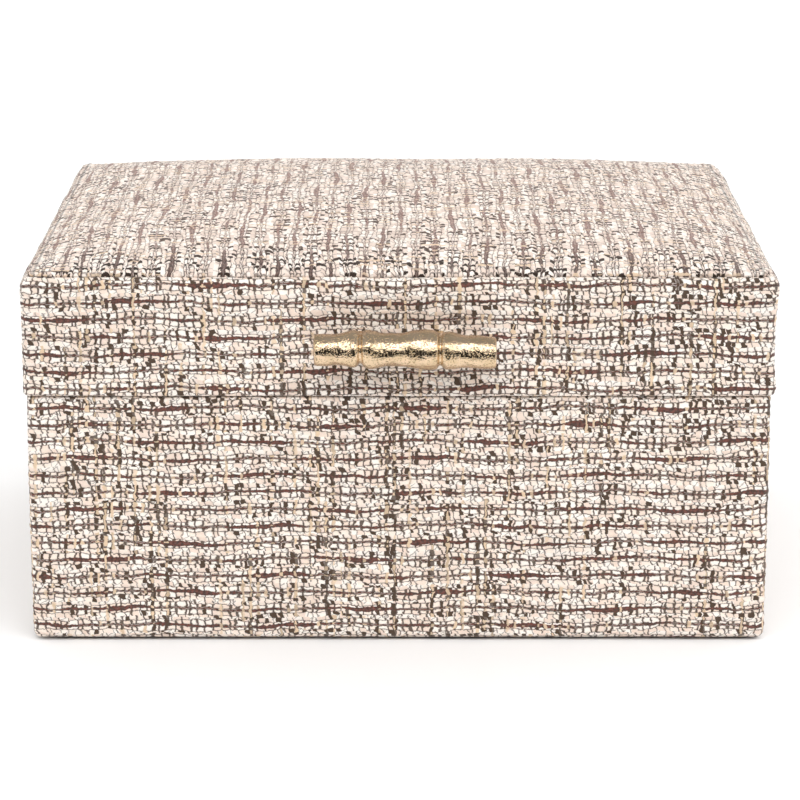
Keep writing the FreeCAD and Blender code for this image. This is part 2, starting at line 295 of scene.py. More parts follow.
weave = {
    "repeat": 5.95,  # mm from one brown slub to the next
    "column": 2.6,  # mm from one warp thread to the next
    "waver": 0.42,  # mm that the rows wander up and down
    "soft": 0.12,  # mm over which a thread's edge blends
    "thinBands": 8,  # numbers kept for the thin rows at each side of a repeat's middle
    "together": 7,  # repeats along which a warp thread keeps its darkness
    "map": "tweedPlace",  # the UV map, in mm along and across the slubs
}


def rowPlace(u, v):
    # which repeat a point is in, counted in repeats, with the rows' slow waver
    waver = sine(u * 0.11 + v * 0.043 + 1.0) + 0.7 * sine(u * 0.057 - v * 0.21 + 2.0)
    waver = waver + 0.5 * sine(u * 0.29 + v * 0.37 + 4.0) + 0.35 * sine(u * 0.53 - v * 0.71)
    return (v + weave["waver"] * waver) / weave["repeat"]


def slubSize(u, row):
    # how fat the brown slub of a row is, 0 to about 1.3
    size = 0.42 + 0.36 * sine(u * 0.153 + row * 2.4) + 0.32 * sine(u * 0.067 + row * 4.1)
    return size + 0.13 * sine(u * 0.37 + row * row * 1.7)


def plumpSize(u, row):
    # how far the pale slub between two brown ones swells
    size = 0.3 * sine(u * 0.131 + row * 3.3) + 0.28 * sine(u * 0.083 + row * 5.7)
    return size + 0.2 * sine(u * 0.33 + row * 1.9)


def inside(x, limit, soft=0.08):  # 1 where x is under the limit, with a soft edge in mm
    return 1 - step(x - limit, -soft, soft)


def chance(flow, x, y):  # four random numbers for each whole x and y
    spot = flow.node("CombineXYZ", {}, {0: x, 1: y})
    drawn = flow.node("TexWhiteNoise", {"noise_dimensions": "2D"}, {"Vector": spot})
    parts = flow.node("SeparateColor", {}, {0: drawn.pick("Color")})
    return drawn, parts, parts.pick("Green"), parts.pick("Blue")


def flatNoise(flow, place, scale, detail, out=0):
    inputs = {"Vector": place, "Scale": scale, "Detail": detail}
    return flow.node("TexNoise", {"noise_dimensions": "2D"}, inputs, out=out)


def tweed(name, look):
    finish = {"Sheen Weight": 0.15, "Sheen Roughness": 0.6, "Specular IOR Level": 0.2}
    material, flow, shader = newMaterial(name, {"Roughness": 0.9, **finish})
    soft = weave["soft"]
    place = flow.node("UVMap", {"uv_map": weave["map"]})
    parts = flow.node("SeparateXYZ", {}, {0: place})
    u, v = parts, parts.pick("Y")
    shakes = flow.node("SeparateXYZ", {}, {0: flatNoise(flow, place, 0.42, 1.0, out=1)})
    shakeU, shakeV = shakes - 0.5, shakes.pick("Y") - 0.5
    small = flow.node("SeparateXYZ", {}, {0: flatNoise(flow, place, 1.5, 1.0, out=1)})
    smallU, smallV = small - 0.5, small.pick("Y") - 0.5
    rows = rowPlace(u, v + shakeV * look["shakeV"])
    line = whole(rows + 0.5)
    row = whole(rows)
    level = rows - row
    off = (rows - line) * weave["repeat"]  # mm from the nearest brown line
    away = abs(off) + smallV * 0.4
    fat = slubSize(u, line)
    plump = plumpSize(u, row)

    # pale weft between two brown lines: a row in the middle that swells, and thin rows beside it
    reach = weave["repeat"] / 2
    middle = look["middle"] + look["swells"] * plump - look["thinner"] * (plump < look["finer"])
    middle = atLeast(middle, look["middleLeast"])
    side = reach - middle - look["beside"]
    count = atLeast(whole(side / look["thinRow"] + 0.5), 1)
    rowAt = (away - look["beside"]) / side * count
    thin = whole(rowAt)
    tall = rowAt > count
    fromThin = abs(rowAt - thin - 0.5) * 2
    fromTall = (reach - away) / middle
    fromBand = fromThin + (fromTall - fromThin) * tall
    size = side / count * 0.5 + (middle - side / count * 0.5) * tall
    weft = inside(fromBand * size, size - look["rowGap"], soft)
    bands = weave["thinBands"]
    band = 2 * bands * row + bands + (atMost(thin, count) - bands) * ((level < 0.5) * 2 - 1)

    # warp threads over the weft
    sheer = (rows - row - 0.5) * weave["repeat"] * (look["lean"] + shakeU * 0.5)
    turn = chance(flow, band, 7.0)[0]
    shaken = u + shakeU * look["shakeU"] + smallU * 0.5
    across = (shaken + sheer * tall) / look["column"] + turn * 0.6
    thread = whole(across + 0.5)
    first, second, third, fourth = chance(flow, thread, band)
    darkColumn = chance(flow, thread, whole(row / weave["together"]))[0]
    bowed = look["arch"] * (fromBand * fromBand - 0.5)
    gap = abs(across - thread + bowed + (fourth - 0.5) * look["uneven"]) * look["column"]
    spread = 1 - look["cluster"] * (0.85 - 3.4 * darkColumn ** 3)
    thick = second > 1 - look["darkShare"] * spread
    half = look["threadThin"] + look["threadVary"] * first + (1 - tall) * look["tick"]
    half = half + thick * (0.15 + (0.25 + 0.4 * third) * tall)
    warp = inside(gap, half, soft)
    cell = whole(across)
    toneAt, slashAt, _, shadeAt = chance(flow, cell, band + 0.5)
    stops = [(share, rgb(*tone)) for share, tone in look["yarns"]]
    yarn = flow.node("ValToRGB", {"stops": stops, "interpolation": "CONSTANT"}, {0: toneAt})
    inCell = (across - cell - 0.5) * look["column"]
    slant = abs(inCell * 0.5 - (level - 0.5) * weave["repeat"] * 0.86 + (shadeAt - 0.5) * 0.8)
    slash = inside(slant, 0.1, 0.14) * (slashAt > 1 - look["slashes"]) * tall
    # painted shade: each yarn darker towards its edges and beside the threads that cross it
    paintedYarnShade = 1 - look["roundShade"] * fromBand * fromBand - 0.2 * (1 - step(gap - half, 0.0, 0.5))
    yarn = blendColour(paintedYarnShade, rgb(*look["yarnEdgeShade"]), yarn)
    body = blendColour(weft, rgb(*look["gapColour"]), yarn)
    faint = look["threads"] * (1 - 0.3 * step(plump, 0.25, 0.5) * tall)
    strong = faint + (1 - faint) * thick
    threads = atLeast(warp * strong, slash * look["threads"] * 0.8)
    body = blendColour(threads, body, rgb(*look["threadColour"]))

    # the brown slub
    brownTone = flatNoise(flow, place, 0.9, 3.0)
    fatness = atLeast(fat - look["brownFrom"], look["brownLeast"])
    brown = inside(abs(off) + smallV * 0.35, fatness * look["brownHalf"])
    slub = blendColour(step(brownTone, 0.35, 0.65), rgb(*look["brownDark"]), rgb(*look["brownRed"]))
    body = blendColour(brown * look["brown"], body, slub)

    # over a stretch a warp thread may be heavy and dark, or tan; more tan threads cross the slubs
    column = shaken / weave["column"] + 0.25
    columnAt = whole(column + 0.5)
    beside = abs(column - columnAt) * weave["column"]
    stretch = chance(flow, columnAt, whole((rows + 3 * sine(columnAt * 2.1)) / 8))
    over = chance(flow, columnAt, band)
    heavy = (stretch[0] > 1 - look["heavyShare"]) * (over[0] > 0.3)
    heavy = inside(beside, 0.3 + 0.45 * over[1], soft) * heavy * look["heavy"]
    body = blendColour(heavy, body, rgb(*look["threadColour"]))
    tan = (stretch[1] > 1 - look["tanShare"]) * (over[2] > 0.6)
    tan = inside(beside, 0.22 + 0.4 * over[3], soft) * tan
    crossing = chance(flow, columnAt, line)
    length = 0.6 + 1.3 * crossing[2] * crossing[2]
    slubTan = inside(beside, 0.16 + 0.36 * crossing[1], soft)
    slubTan = slubTan * inside(abs(off) + smallV * 0.6, length, 0.15)
    tan = atLeast(tan, slubTan * (crossing[0] > 1 - look["tanCrossing"]))
    body = blendColour(tan * (0.6 + 0.4 * crossing[3]), body, rgb(*look["tan"]))

    fibre = flatNoise(flow, place, 2.8, 3.0)
    patch = flatNoise(flow, place, 0.055, 2.0)
    tone = 0.88 + 0.24 * fibre + look["patch"] * (patch - 0.5)
    if look["deep"]:  # painted shade: darker gaps towards the panel's front edge
        gapShadeNearFront = 1 - step(u + smallU * 6, 1.0, look["deep"])
        pale = step(flow.node("RGBToBW", {}, {0: body}), *look["deepTones"])
        tone = tone * (1 - look["deepShade"] * gapShadeNearFront * (1 - pale))
    if look["rim"]:  # painted shade in the crease beside the rolled edge, at the panel's left and right
        inward = atMost(v, look["rim"] - v) + smallV * 0.9
        creaseShadeMask = inside(abs(inward - look["creaseAt"]), look["creaseHalf"], look["creaseSoft"])
        tone = tone * (1 - look["creaseShade"] * creaseShadeMask)
    toned = flow.node("CombineColor", {}, {0: tone, 1: tone, 2: tone})
    body = blendColour(1.0, body, toned, "MULTIPLY")
    height = weft * (1.0 - 0.6 * fromBand * fromBand) * (1 - 0.6 * warp) * (1 - brown)
    height = height + brown * 0.6 + tan * 0.5 + fibre * 0.25
    bump = bumpFrom(flow, height, look["bump"], look["bumpDepth"])
    feed(shader, Base_Color=body, Normal=bump)
    return material


frontLook = {
    "yarns": [(0.0, (242, 223, 209)), (0.28, (249, 235, 223)), (0.58, (254, 246, 238))],
    # the two below paint shade at the yarns' edges: its colour, and how much of it
    "yarnEdgeShade": (196, 176, 162),
    "roundShade": 0.3,
    "gapColour": (88, 69, 56),
    "middle": 1.42,  # mm, half the height of the middle row
    "middleLeast": 0.08,
    "swells": 0.35,  # mm for each unit of its swelling
    "finer": -0.08,  # the swelling under which it is thinner
    "thinner": 0.5,  # mm, by how much
    "thinRow": 1.35,  # mm, the height of a thin weft row
    "rowGap": 0.11,
    "column": 2.6,  # mm from one warp thread to the next
    "beside": 0.4,  # mm from the middle of a brown line to the first pale row
    "threadColour": (80, 63, 50),
    "threads": 0.92,
    "threadThin": 0.1,
    "threadVary": 0.22,
    "tick": 0.17,
    "uneven": 0.6,
    "darkShare": 0.185,
    "cluster": 1.0,  # how much the dark threads keep together
    "arch": 0.0,
    "slashes": 0.42,
    "brownDark": (70, 52, 46),
    "brownRed": (112, 66, 56),
    "brown": 0.97,
    "brownHalf": 0.86,  # mm, half the height of a fat brown slub
    "brownLeast": 0.24,
    "brownFrom": 0.1,
    "tan": (232, 206, 174),
    "tanShare": 0.3,
    "tanCrossing": 0.12,
    "heavyShare": 0.17,
    "heavy": 0.9,
    "patch": 0.2,
    "shakeU": 1.6,
    "shakeV": 1.0,
    "lean": 0.3,
    "bump": 0.6,
    "bumpDepth": 0.0004,  # m
    "deep": 0,  # mm from the front edge in which shade is painted into the gaps; 0 is nowhere
    "deepTones": (0.12, 0.66),  # brightness up to which a tone darkens fully, and over which not
    "deepShade": 0.62,
    "rim": 0,  # mm across a panel that has creases with painted shade; 0 is no panel
    "creaseAt": 2.1,  # mm in from its edge
    "creaseHalf": 0.45,
    "creaseSoft": 0.35,
    "creaseShade": 0.5,
}
frontTweed = tweed("frontTweed", frontLook)
# the same tweed for the padded top: its gaps are lighter, with less shade painted in them, and more
# of its dark threads arch, partly real dark threads and partly painted shade on the yarns' backs
topLook = dict(
    frontLook,
    yarns=[(0.0, (228, 209, 196)), (0.3, (240, 224, 212)), (0.62, (250, 240, 231))],
    gapColour=(150, 129, 116),
    threadColour=(84, 63, 49),
    threads=0.46,
    column=3.1,
    uneven=0.8,
    threadVary=0.26,
    tick=0.22,
    darkShare=0.36,
    cluster=0.25,
    arch=0.3,
    heavyShare=0.0,
    slashes=0.0,
    brownDark=(106, 78, 69),
    brownRed=(142, 99, 89),
    brownHalf=1.2,
    brown=0.75,
    brownLeast=0.0,
    brownFrom=0.27,
    tan=(226, 200, 172),
    deep=27.0,
    rim=249.0,
)
topTweed = tweed("topTweed", topLook)
print("materials ready")


def relief(u, v):
    # how far the yarns stand out of the cloth, in mm
    rows = rowPlace(u, v)
    line, row = np.floor(rows + 0.5), np.floor(rows)
    away = (rows - line) * weave["repeat"]
    fat = np.maximum(slubSize(u, line), 0)
    level = rows - row
    plump = plumpSize(u, row)
    pale = (0.2 + 0.22 * plump) * np.exp(-(((level - 0.5) / 0.17) ** 2))
    brown = 0.34 * fat * np.exp(-((away / (0.45 + 0.55 * fat)) ** 2))
    threads = np.sin(u * 2 * math.pi / weave["column"] + row * 2.1)
    return pale + brown + 0.05 * threads * np.abs(np.sin(level * math.pi)) - 0.12


def meshPiece(name, points, faces, uv):
    # a smooth mesh from points in mm, faces, and the place on the cloth of each face's corners
    mesh = bpy.data.meshes.new(name)
    mesh.from_pydata((points * mm).tolist(), [], faces)
    layer = mesh.uv_layers.new(name=weave["map"])
    layer.data.foreach_set("uv", uv.reshape(-1).astype(np.float32))
    mesh.shade_smooth()
    piece = bpy.data.objects.new(name, mesh)
    bpy.context.scene.collection.objects.link(piece)
    return piece


def gridPiece(name, places, along, across, wraps=False, loops=False):
    # a mesh of quads; places runs along the cloth, then across it, then x, y, z in mm
    columns, rows = places.shape[:2]
    spanI, spanJ = columns - (not wraps), rows - (not loops)
    i, j = np.meshgrid(np.arange(spanI), np.arange(spanJ), indexing="ij")
    i, j = i.ravel(), j.ravel()
    nextI, nextJ = (i + 1) % columns, (j + 1) % rows
    faces = np.stack([i * rows + j, nextI * rows + j, nextI * rows + nextJ, i * rows + nextJ], 1)
    cornersU = np.stack([along[i], along[i + 1], along[i + 1], along[i]], 1)
    cornersV = np.stack([across[j], across[j], across[j + 1], across[j + 1]], 1)
    return meshPiece(name, places.reshape(-1, 3), faces.tolist(), np.stack([cornersU, cornersV], 2))


boxRound = {
    "cornerSpans": 5,
    # from the middle of the back: each run's begin and end, as shares of the way to the sides, and
    # its way out
    "runs": [
        ((0, 1), (-1, 1), (0, 1)),
        ((-1, 1), (-1, -1), (-1, 0)),
        ((-1, -1), (1, -1), (0, -1)),
        ((1, -1), (1, 1), (1, 0)),
        ((1, 1), (0, 1), (0, 1)),
    ],
}


def roundedLoop(halfWidth, halfDepth, radius, spacing):
    # counterclockwise: the share of the way to each side, the way out, and the length so far
    runs, spans = boxRound["runs"], boxRound["cornerSpans"]
    samples = []
    length = 0.0
    for number, (begin, end, out) in enumerate(runs):
        wayX, wayY = end[0] - begin[0], end[1] - begin[1]
        reach = abs(wayX) * (halfWidth - radius) + abs(wayY) * (halfDepth - radius)
        count = math.ceil(reach / spacing)
        for k in range(count):
            t = k / count
            samples.append((begin[0] + wayX * t, begin[1] + wayY * t, *out, length + reach * t))
        length += reach
        if number + 1 < len(runs):
            turn = runs[number + 1][2]
            for k in range(spans):
                a = k / spans * math.pi / 2
                way = [o * math.cos(a) + t * math.sin(a) for o, t in zip(out, turn)]
                samples.append((*end, *way, length + radius * a))
            length += radius * math.pi / 2
    return np.array(samples), length


def bandPlaces(loop, halfWidth, halfDepth, radius, deep, high):
    # points of a band round the box, deep mm in from its face and high mm up
    sideX, sideY, outX, outY = [loop[:, k : k + 1] for k in range(4)]
    shrink = np.maximum(radius, deep + 0.05)
    x = sideX * (halfWidth - shrink) + outX * (shrink - deep)
    y = sideY * (halfDepth - shrink) + outY * (shrink - deep)
    return np.stack([x, y, high + 0 * x], 2)


class Outline:
    # the section of a wrapped band: distance in from the face, height, and share of the relief
    def __init__(self, deep, high, share):
        self.points = [(deep, high, share)]

    def line(self, deep, high, count, share):
        start = self.points[-1]
        for k in range(1, count + 1):
            t = k / count
            self.points.append(tuple(a + (b - a) * t for a, b in zip(start, (deep, high, share))))

    def arc(self, middle, radius, begin, end, count, share):
        start = self.points[-1][2]
        for k in range(1, count + 1):
            a = math.radians(begin + (end - begin) * k / count)
            deep, high = middle[0] - radius * math.cos(a), middle[1] + radius * math.sin(a)
            self.points.append((deep, high, start + (share - start) * k / count))

    def arrays(self):
        deep, high, share = np.array(self.points).T
        across = np.concatenate([[0], np.cumsum(np.hypot(np.diff(deep), np.diff(high)))])
        leftOver = np.roll(deep, -1) - np.roll(deep, 1)
        risen = np.roll(high, -1) - np.roll(high, 1)
        size = np.hypot(leftOver, risen)
        return deep, high, share, across, risen / size, leftOver / size


def wrappedBand(name, shape, outline, material):
    size = (shape["halfWidth"], shape["halfDepth"], shape["round"])
    loop, length = roundedLoop(*size, shape["spacing"])
    deep, high, share, across, out, rise = outline.arrays()
    u = loop[:, 4:5] + shape["startAlong"]
    v = across[None, :] + shape["startAcross"]
    lift = relief(u, v) * share
    lift = lift + shape["swell"](high[None, :], loop[:, 2:3]) * share
    deepAt = deep[None, :] - lift * out[None, :]
    highAt = high[None, :] + lift * rise[None, :]
    places = bandPlaces(loop, *size, deepAt, highAt)
    places = pressUnderHinges(places, shape["rim"], shape["far"])
    along = np.append(u[:, 0], length + shape["startAlong"])
    closing = math.hypot(deep[0] - deep[-1], high[0] - high[-1])
    acrossLoop = np.append(v[0], v[0, -1] + closing)
    piece = gridPiece(name, places, along, acrossLoop, wraps=True, loops=True)
    piece.data.materials.append(material)
    return piece


hinges = {
    "places": (-75.0, 75.0),
    "half": 13.4,  # mm, half of a leaf's length with its room
    "soft": 1.2,  # mm over which the cloth comes up again
    "behind": 60.0,  # y from which the cloth is at the back
    "press": 1.3,  # mm
}


def pressUnderHinges(places, rim, far):
    # the cloth is pressed flat under the leaves of the hinges, at the back
    x, y, z = places[..., 0], places[..., 1], places[..., 2]
    near = np.zeros_like(x)
    for place in hinges["places"]:
        share = (hinges["half"] - np.abs(x - place)) / hinges["soft"]
        near = np.maximum(near, np.clip(share, 0, 1))
    near = near * near * (3 - 2 * near) * (y > hinges["behind"])
    part = np.clip((z - far) / (rim - far), 0, 1)
    places[..., 2] = z - np.sign(rim - far) * hinges["press"] * near * part
    return places


def baseSwell(high, side):
    # mm that the cloth stands off its boards; side is 1 at the right and -1 at the left
    return 0.25 * np.sin(high * 0.036) + 0 * side


def lidSwell(high, side):
    nearTop = 0.55 * np.exp(-(((high - 124) / 6) ** 2)) * (1 + 0.6 * side)
    nearRim = 0.4 * np.exp(-(((high - 90.5) / 4) ** 2)) * (1 + 0.8 * side)
    return nearTop + nearRim


cloth = {"thick": 1.2, "turnIn": 14.0, "overRim": 6.2, "bend": 2.8, "rimBend": 1.0}
baseShape = {
    "halfWidth": 126.0,
    "halfDepth": 100.5,
    "round": 2.8,
    "spacing": 1.5,
    "startAlong": 0.0,
    "startAcross": 0.0,
    "foot": 0.8,
    "rim": 87.2,
    "far": 79.0,  # the height at which the press under the hinges has ended
    "swell": baseSwell,
    "on": ["base_front_board", "base_back_board", "base_left_board", "base_right_board"],
}
lidShape = {
    "halfWidth": 127.0,
    "halfDepth": 101.5,
    "round": 2.8,
    "spacing": 1.3,
    "startAlong": 47.0,
    "startAcross": 151.0,
    "top": 128.0,
    "underPanel": 5.0,  # mm in from the face, where the cloth lies flat under the padded panel
    "rim": 87.6,
    "far": 95.0,
    "swell": lidSwell,
    "on": ["lid_front_board", "lid_back_board", "lid_left_board", "lid_right_board"],
}


def makeBaseTweed():
    thick, turnIn, overRim, bend, rimBend = cloth.values()
    foot, rim = baseShape["foot"], baseShape["rim"]
    outline = Outline(turnIn, foot, 0)
    outline.line(bend, foot, 3, 0)
    outline.arc((bend, foot + bend), bend, -90, 0, 5, 1)
    outline.line(0, rim - rimBend, 136, 1)
    outline.arc((rimBend, rim - rimBend), rimBend, 0, 90, 3, 0)
    outline.line(overRim, rim, 4, 0)
    outline.line(overRim, rim - thick, 1, 0)
    outline.line(thick, rim - thick, 1, 0)
    outline.line(thick, foot + thick, 1, 0)
    outline.line(turnIn, foot + thick, 1, 0)
    piece = wrappedBand("baseTweed", baseShape, outline, frontTweed)
    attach(piece, "base")
    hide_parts("base_tweed_wrap")


def makeLidTweed():
    thick, turnIn, overRim, bend, rimBend = cloth.values()
    top, rim = lidShape["top"], lidShape["rim"]
    outline = Outline(overRim, rim + thick, 0)
    outline.line(overRim, rim, 1, 0)
    outline.line(rimBend, rim, 4, 0)
    outline.arc((rimBend, rim + rimBend), rimBend, -90, 0, 3, 1)
    outline.line(0, top - bend, 61, 1)
    outline.arc((bend, top - bend), bend, 0, 90, 7, 0.8)
    outline.line(lidShape["underPanel"], top, 4, 0)
    outline.line(turnIn, top, 2, 0)
    outline.line(turnIn, top - thick, 1, 0)
    outline.line(thick, top - thick, 1, 0)
    outline.line(thick, rim + thick, 1, 0)
    piece = wrappedBand("lidTweed", lidShape, outline, frontTweed)
    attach(piece, "lid")
    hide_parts("lid_tweed_band")


def rise(edge, half):
    # a padded top's share of its rise, by the distance from its edge
    return 0.8 * (1 - np.exp(-edge / 15)) + 0.2 * (edge / half) * (2 - edge / half)


topPanel = {
    "halfWidth": 124.5,
    "halfDepth": 99.0,
    "round": 4.0,
    "foot": 128.0,
    "edge": 1.8,
    "crown": 9.0,
    "stepX": 0.62,
    "stepY": 1.1,
    "startAlong": 300.0,  # mm along the cloth's slubs at the panel's middle
    "yarns": 0.8,  # the share of the yarns' relief that it has
    "flatEdge": 15.0,  # mm over which its lumps end at the edge
}


def padTop(x, y, shape):
    edgeX = shape["halfWidth"] - np.abs(x)
    edgeY = shape["halfDepth"] - np.abs(y)
    return shape["crown"] * rise(edgeX, shape["halfWidth"]) * rise(edgeY, shape["halfDepth"])


padCloth = {
    "spacing": 6.0,  # mm between the points of the cover while it is simulated
    "pressure": 4.0,
    "frames": 20,
    "start": 0.97,  # the share of its crown that the pad starts with
    "cap": 2.5,  # mm, the most that a point may move
    "quality": 6,
    "clear": 0.03,  # mm between the underside and what the pad lies on
    # the rounded edge, ring by ring: mm out, and share of the height
    "skirt": [(0.35, 0.72), (0.45, 0.4), (0.1, 0.1), (-0.7, 0.0)],
    "skirtStep": 0.3,  # how much cloth each ring of it takes, as a share of the edge
}


def flatGrid(halfWidth, halfDepth, countX, countY):
    across = np.linspace(-halfWidth, halfWidth, countX)
    return np.meshgrid(across, np.linspace(-halfDepth, halfDepth, countY), indexing="ij")


def swellOf(name, shape):
    # the pad's cover is blown up as cloth, held along its edge; gives its points' rise in mm
    half, deep = shape["halfWidth"], shape["halfDepth"]
    countX = round(2 * half / padCloth["spacing"]) + 1
    countY = round(2 * deep / padCloth["spacing"]) + 1
    x, y = flatGrid(half, deep, countX, countY)
    start = padCloth["start"] * padTop(x, y, shape)
    places = np.stack([x, y, start], 2)
    cover = gridPiece(name, places, x[:, 0], y[0])
    held = cover.vertex_groups.new(name="edge")
    held.add([i * countY + j for i, j in borderOf(countX, countY)], 1.0, "REPLACE")
    deselectAll()
    bpy.context.view_layer.objects.active = cover
    blown = cover.modifiers.new("cover", "CLOTH")
    blown.settings.use_pressure = True
    blown.settings.uniform_pressure_force = padCloth["pressure"]
    blown.settings.vertex_group_mass = "edge"
    blown.settings.effector_weights.gravity = 0
    blown.settings.quality = padCloth["quality"]
    blown.collision_settings.use_collision = False
    blown.point_cache.frame_end = padCloth["frames"]
    for number in range(1, padCloth["frames"] + 1):
        bpy.context.scene.frame_set(number)
    bpy.ops.object.modifier_apply(modifier="cover")
    moved = np.empty(countX * countY * 3, np.float32)
    cover.data.vertices.foreach_get("co", moved)
    bpy.data.objects.remove(cover)
    bpy.context.scene.frame_set(1)
    risen = moved.reshape(countX, countY, 3)[..., 2] / mm - start
    return np.clip(risen, 0, padCloth["cap"])


def between(grid, x, y, shape):
    # the value of a coarse grid at finer places, by cubic steps
    def shares(place, count):
        place = np.clip(place, 0, count - 1.001)
        first = np.floor(place).astype(int)
        t = (place - first)[..., None]
        picks = np.clip(first[..., None] + np.arange(-1, 3), 0, count - 1)
        inner = [3 * t**3 - 6 * t**2 + 4, -3 * t**3 + 3 * t**2 + 3 * t + 1]
        return picks, np.concatenate([(1 - t) ** 3, *inner, t**3], -1) / 6

    half, deep = shape["halfWidth"], shape["halfDepth"]
    countX, countY = grid.shape
    picksX, partsX = shares((x + half) / (2 * half) * (countX - 1), countX)
    picksY, partsY = shares((y + deep) / (2 * deep) * (countY - 1), countY)
    result = np.zeros(x.shape)
    for a in range(4):
        for b in range(4):
            result += grid[picksX[..., a], picksY[..., b]] * partsX[..., a] * partsY[..., b]
    return result


def roundedGrid(halfWidth, halfDepth, radius, countX, countY):
    # a grid whose four corners are rounded
    x, y = flatGrid(halfWidth, halfDepth, countX, countY)
    inX, inY = halfWidth - radius, halfDepth - radius
    s = np.clip((np.abs(x) - inX) / radius, 0, 1)
    t = np.clip((np.abs(y) - inY) / radius, 0, 1)
    corner = (s > 0) & (t > 0)
    roundX = np.sign(x) * (inX + radius * s * np.sqrt(1 - t * t / 2))
    roundY = np.sign(y) * (inY + radius * t * np.sqrt(1 - s * s / 2))
    return np.where(corner, roundX, x), np.where(corner, roundY, y)


def borderOf(columns, rows):
    # the grid's outer points, counterclockwise
    low = [(i, 0) for i in range(columns)]
    right = [(columns - 1, j) for j in range(1, rows)]
    high = [(i, rows - 1) for i in range(columns - 2, -1, -1)]
    left = [(0, j) for j in range(rows - 2, 0, -1)]
    return low + right + high + left


def paddedPiece(name, shape, material, lift, facing=1):
    # a crowned top, a rounded edge that tucks in, and a flat underside; facing -1 turns it over
    half, deep, foot, corner = [shape[key] for key in ("halfWidth", "halfDepth", "foot", "round")]
    countX, countY = round(2 * half / shape["stepX"]) + 1, round(2 * deep / shape["stepY"]) + 1
    x, y = roundedGrid(half, deep, corner, countX, countY)
    swell = between(swellOf(name + "Cover", shape), x, y, shape)
    height = shape["edge"] + padCloth["start"] * padTop(x, y, shape) + swell + lift(x, y)
    points = [np.stack([x, y, foot + facing * height], 2).reshape(-1, 3)]
    number = np.arange(countX * countY).reshape(countX, countY)
    previous = np.array([number[i, j] for i, j in borderOf(countX, countY)])
    i, j = np.meshgrid(np.arange(countX - 1), np.arange(countY - 1), indexing="ij")
    i, j = i.ravel(), j.ravel()
    quads = np.stack([number[i, j], number[i + 1, j], number[i + 1, j + 1], number[i, j + 1]], 1)
    faces = quads[:, ::facing].tolist()

    # the cloth is measured over the crown, and from the rim down the skirt
    slope = np.hypot(np.diff(y[countX // 2]), np.diff(height[countX // 2]))
    alongAt = np.broadcast_to(np.concatenate([[0], np.cumsum(slope)]), x.shape)
    mapped = [np.stack([alongAt.ravel(), x.ravel() + half], 1)]
    ring, rim = points[0][previous], mapped[0][previous]
    inner = np.clip(ring[:, :2], [corner - half, corner - deep], [half - corner, deep - corner])
    out = ring[:, :2] - inner
    out = out / np.linalg.norm(out, axis=1, keepdims=True)
    total = countX * countY
    edgeDown = 0.0
    for outward, share in padCloth["skirt"]:
        above = padCloth["clear"] + share * (facing * (ring[:, 2] - foot) - padCloth["clear"])
        points.append(np.column_stack([ring[:, :2] + out * outward, foot + facing * above]))
        edgeDown += shape["edge"] * padCloth["skirtStep"]
        mapped.append(rim + out[:, ::-1] * edgeDown)
        current = np.arange(total, total + len(ring))
        total += len(ring)
        skirt = [previous, current, np.roll(current, -1), np.roll(previous, -1)]
        faces += np.stack(skirt, 1)[:, ::facing].tolist()
        previous = current
    faces.append(previous[::-facing].tolist())
    corners = [corner for face in faces for corner in face]
    piece = meshPiece(name, np.concatenate(points), faces, np.concatenate(mapped)[corners])
    piece.data.materials.append(material)
    return piece


def calmEdge(x, y, shape):
    # 0 at a pad's edge, 1 further in
    edge = np.minimum(shape["halfWidth"] - np.abs(x), shape["halfDepth"] - np.abs(y))
    return np.clip(edge / shape["flatEdge"], 0, 1)


def topLift(x, y):
    yarns = relief(y + topPanel["startAlong"], x + topPanel["halfWidth"])
    lumps = 0.35 * np.sin(x * 0.031 + 0.6) * np.sin(y * 0.027 + 1.0)
    lumps = lumps + 0.2 * np.sin(x * 0.071 + y * 0.05)
    return yarns * topPanel["yarns"] + lumps * calmEdge(x, y, topPanel)


def makeLidTop():
    piece = paddedPiece("lidTopTweed", topPanel, topTweed, topLift)
    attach(piece, "lid")
    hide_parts("lid_top_tweed", "lid_foam_pad")


suede = {
    "colour": (170, 150, 132),
    "nap": (160, 140, 122),
    "pale": (190, 172, 154),
}


def suedeMaterial():
    finish = {"Sheen Weight": 0.35, "Sheen Roughness": 0.4, "Specular IOR Level": 0.15}
    material, flow, shader = newMaterial("nappedSuede", finish)
    place = objectPlace(flow)
    brushed = noise(flow, stretched(flow, place, (30, 48, 40)), 1.0, 5.0, Distortion=1.2)
    fibres = noise(flow, place, 2600.0, 3.0)
    pores = flow.node("TexVoronoi", {}, {"Vector": place, "Scale": 1500.0})
    tone = blendColour(step(brushed, 0.3, 0.7), rgb(*suede["nap"]), rgb(*suede["colour"]))
    tone = blendColour(step(fibres, 0.4, 0.75) * 0.5, tone, rgb(*suede["pale"]))
    height = fibres * 0.7 + pores * 0.3 + brushed * 0.3
    bump = bumpFrom(flow, height, 0.35, 0.0003)
    feed(shader, Base_Color=tone, Normal=bump, Roughness=0.86 + 0.12 * fibres)
    return material


floorCushion = {
    "halfWidth": 118.0,
    "halfDepth": 92.5,
    "round": 2.0,
    "foot": 6.0,
    "edge": 3.0,
    "crown": 2.2,
    "stepX": 2.0,
    "stepY": 2.0,
    "flatEdge": 12.0,
}
ceilingCushion = dict(
    floorCushion, halfWidth=119.0, halfDepth=93.5, foot=122.8, edge=2.0, crown=1.6
)


def softLift(x, y):
    # slight hollows and swellings of wadding under cloth
    waves = 0.22 * np.sin(x * 0.045 + 0.4) * np.sin(y * 0.052 + 1.3)
    return (waves + 0.1 * np.sin(x * 0.11 + y * 0.07)) * calmEdge(x, y, floorCushion)


